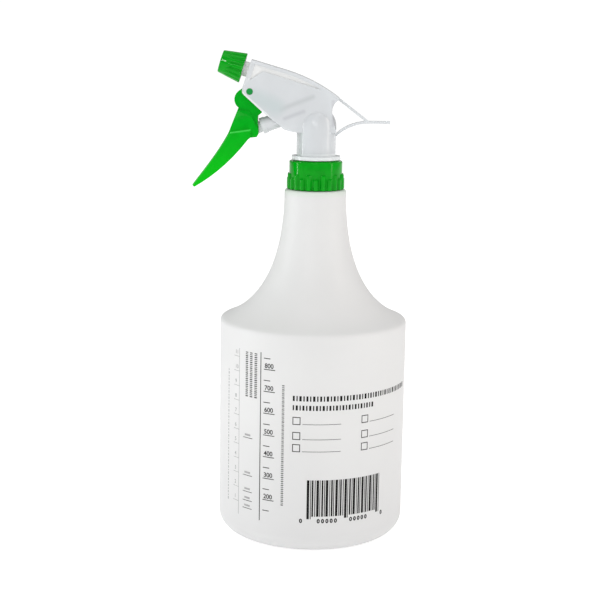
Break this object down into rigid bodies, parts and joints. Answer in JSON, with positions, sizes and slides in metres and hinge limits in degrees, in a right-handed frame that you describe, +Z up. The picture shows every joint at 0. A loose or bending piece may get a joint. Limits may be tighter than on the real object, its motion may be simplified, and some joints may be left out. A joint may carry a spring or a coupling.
{
  "type": "trigger spray bottle",
  "caption": "Frosted plastic hand mister with a flared neck, screw-on trigger pump head, adjustable nozzle cap, piston pump, valves and dip tube.",
  "frame": {"origin": "on the bottle's axis, on the raised panel inside its standing ring", "axes": "+Z up along the bottle's axis, -X the way the nozzle points, +Y across"},
  "size_m": [0.1136, 0.099, 0.2549],
  "materials": {
    "frosted_plastic": "frosted translucent polyethylene",
    "milky_plastic": "milky translucent polypropylene",
    "green_plastic": "glossy moulded green",
    "grey_rubber": "soft grey elastomer",
    "spring_steel": "bright stainless"
  },
  "bodies": {
    "bottle": {"bottle": "frosted_plastic"},
    "gasket": {"neck_gasket": "grey_rubber"},
    "head": {"head_housing": "milky_plastic", "pump_body": "milky_plastic", "tube_retainer": "milky_plastic", "dip_tube": "milky_plastic", "swirl_plug": "milky_plastic", "return_spring": "spring_steel", "discharge_spring": "spring_steel"},
    "nut": {"closure_nut": "green_plastic"},
    "trigger": {"trigger": "green_plastic"},
    "piston": {"piston": "milky_plastic", "piston_wiper": "grey_rubber", "piston_cup_seal": "grey_rubber"},
    "inlet_ball": {"inlet_ball": "spring_steel"},
    "nozzle_seal": {"nozzle_seal": "grey_rubber"},
    "nozzle_cap": {"nozzle_cap": "green_plastic"},
    "discharge_ball": {"discharge_ball": "spring_steel"}
  },
  "joints": [
    {"name": "head_lift", "type": "slide", "parent": "bottle", "child": "gasket", "axis": [0, 0, 1], "range_m": [0, 0.2]},
    {"name": "head_rise", "type": "slide", "parent": "gasket", "child": "head", "axis": [0, 0, 1], "range_m": [0, 0.00476]},
    {"name": "nut_turn", "type": "hinge", "parent": "head", "child": "nut", "pos_m": [0, 0, 0.1916], "axis": [0, 0, 1], "range_deg": [0, 560]},
    {"name": "trigger_pull", "type": "hinge", "parent": "head", "child": "trigger", "pos_m": [-0.0348, 0, 0.2342], "axis": [0, -1, 0], "range_deg": [0, 27.5]},
    {"name": "piston_stroke", "type": "slide", "parent": "head", "child": "piston", "axis": [0.9272, 0, 0.3746], "range_m": [0, 0.00882], "stiffness_N_per_m": 400, "springref_m": -0.01, "deforming": ["return_spring"]},
    {"name": "inlet_ball_lift", "type": "slide", "parent": "head", "child": "inlet_ball", "axis": [0, 0, 1], "range_m": [0, 0.0012]},
    {"name": "nozzle_rise", "type": "slide", "parent": "head", "child": "nozzle_seal", "axis": [-0.9573, 0, 0.289], "range_m": [0, 0.002]},
    {"name": "nozzle_turn", "type": "hinge", "parent": "nozzle_seal", "child": "nozzle_cap", "pos_m": [-0.0384, 0, 0.24585], "axis": [-0.9573, 0, 0.289], "range_deg": [0, 380]},
    {"name": "discharge_ball_lift", "type": "slide", "parent": "head", "child": "discharge_ball", "axis": [-0.9573, 0, 0.289], "range_m": [0, 0.001], "stiffness_N_per_m": 100, "springref_m": -0.002, "deforming": ["discharge_spring"]}
  ],
  "couplings": [
    {"joint": "nut_turn", "follows": "head_rise", "rad_per_m": 1979},
    {"joint": "trigger_pull", "follows": "piston_stroke", "rad_per_m": 51.455},
    {"joint": "nozzle_turn", "follows": "nozzle_rise", "rad_per_m": 3141.6}
  ]
}
